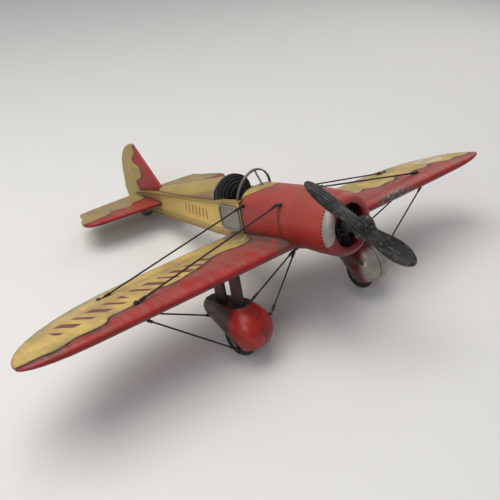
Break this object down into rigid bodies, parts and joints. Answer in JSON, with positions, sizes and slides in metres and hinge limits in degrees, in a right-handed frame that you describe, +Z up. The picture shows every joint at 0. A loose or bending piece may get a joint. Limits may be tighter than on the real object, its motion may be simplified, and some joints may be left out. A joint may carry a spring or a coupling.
{
  "type": "toy airplane",
  "caption": "Low-wing tinplate racing aeroplane model with a radial engine, spinning propeller, wire bracing, open cockpit and spatted wheels on a tail skid.",
  "frame": {"origin": "on the surface it stands on, under the middle of the whole model's box, standing on two wheels and the tail skid", "axes": "+X to the aeroplane's left wing tip, +Y to the tail, so the nose points along -Y, +Z up"},
  "size_m": [0.4772, 0.336, 0.1576],
  "materials": {
    "red_tin": "faded brick-red enamel over tinplate",
    "dark_red_tin": "dark grimy red enamel",
    "wing_tin": "mustard yellow and red enamel, worn",
    "yellow_tin": "aged mustard yellow enamel",
    "tail_tin": "aged tan and red enamel",
    "black_tin": "semi-gloss black enamel",
    "bare_tin": "dull worn tin with paint remains",
    "cast_metal": "rough grey-green casting",
    "engine_metal": "blackened metal",
    "steel": "dull oxidised steel",
    "brass": "dull brass",
    "wire": "blackened iron wire",
    "tyre": "matt black"
  },
  "bodies": {
    "airframe": {"access_door_left": "bare_tin", "access_door_right": "bare_tin", "axle_left": "steel", "axle_right": "steel", "belly_panel": "yellow_tin", "body_wire_lugs": "wire", "cockpit_floor": "black_tin", "deck_plate": "yellow_tin", "engine_crankcase": "engine_metal", "engine_cylinders": "engine_metal", "engine_mount_plate": "engine_metal", "fin": "tail_tin", "forward_fuselage": "red_tin", "gear_strut_front_left": "dark_red_tin", "gear_strut_front_right": "dark_red_tin", "gear_strut_rear_left": "dark_red_tin", "gear_strut_rear_right": "dark_red_tin", "gear_wires_left": "wire", "gear_wires_right": "wire", "headrest": "black_tin", "instrument_panel": "black_tin", "mouth_bead": "red_tin", "nose_shell": "red_tin", "shaft_bush": "brass", "side_panel_left": "yellow_tin", "side_panel_right": "yellow_tin", "spat_inner_shell_left": "red_tin", "spat_inner_shell_right": "red_tin", "spat_outer_shell_left": "red_tin", "spat_outer_shell_right": "red_tin", "spat_top_plate_left": "dark_red_tin", "spat_top_plate_right": "dark_red_tin", "spat_wire_beads": "wire", "stabilizer": "tail_tin", "stern_cap": "yellow_tin", "tail_skid": "steel", "top_front_wire_left": "wire", "top_front_wire_right": "wire", "top_rear_wire_left": "wire", "top_rear_wire_right": "wire", "turtle_deck": "yellow_tin", "turtle_deck_rim": "bare_tin", "under_wing_wires_left": "wire", "under_wing_wires_right": "wire", "windscreen_hoop": "steel", "windscreen_strut": "steel", "wing_lower_skin_left": "red_tin", "wing_lower_skin_right": "red_tin", "wing_upper_skin_left": "wing_tin", "wing_upper_skin_right": "wing_tin", "wing_wire_beads": "wire"},
    "propeller": {"propeller": "cast_metal", "propeller_shaft": "steel", "shaft_collar": "steel", "propeller_washer": "steel", "propeller_nut": "cast_metal"},
    "left_wheel": {"wheel_hub_left": "steel", "tyre_left": "tyre"},
    "right_wheel": {"wheel_hub_right": "steel", "tyre_right": "tyre"}
  },
  "joints": [
    {"name": "propeller_spin", "type": "hinge", "parent": "airframe", "child": "propeller", "pos_m": [0, -0.15431, 0.11018], "axis": [0, -0.9659, 0.2588], "continuous": true},
    {"name": "left_wheel_spin", "type": "hinge", "parent": "airframe", "child": "left_wheel", "pos_m": [0.069, -0.1005, 0.01519], "axis": [0.9925, -0.1177, 0.0315], "continuous": true},
    {"name": "right_wheel_spin", "type": "hinge", "parent": "airframe", "child": "right_wheel", "pos_m": [-0.069, -0.1005, 0.01519], "axis": [0.9925, 0.1177, -0.0315], "continuous": true}
  ]
}
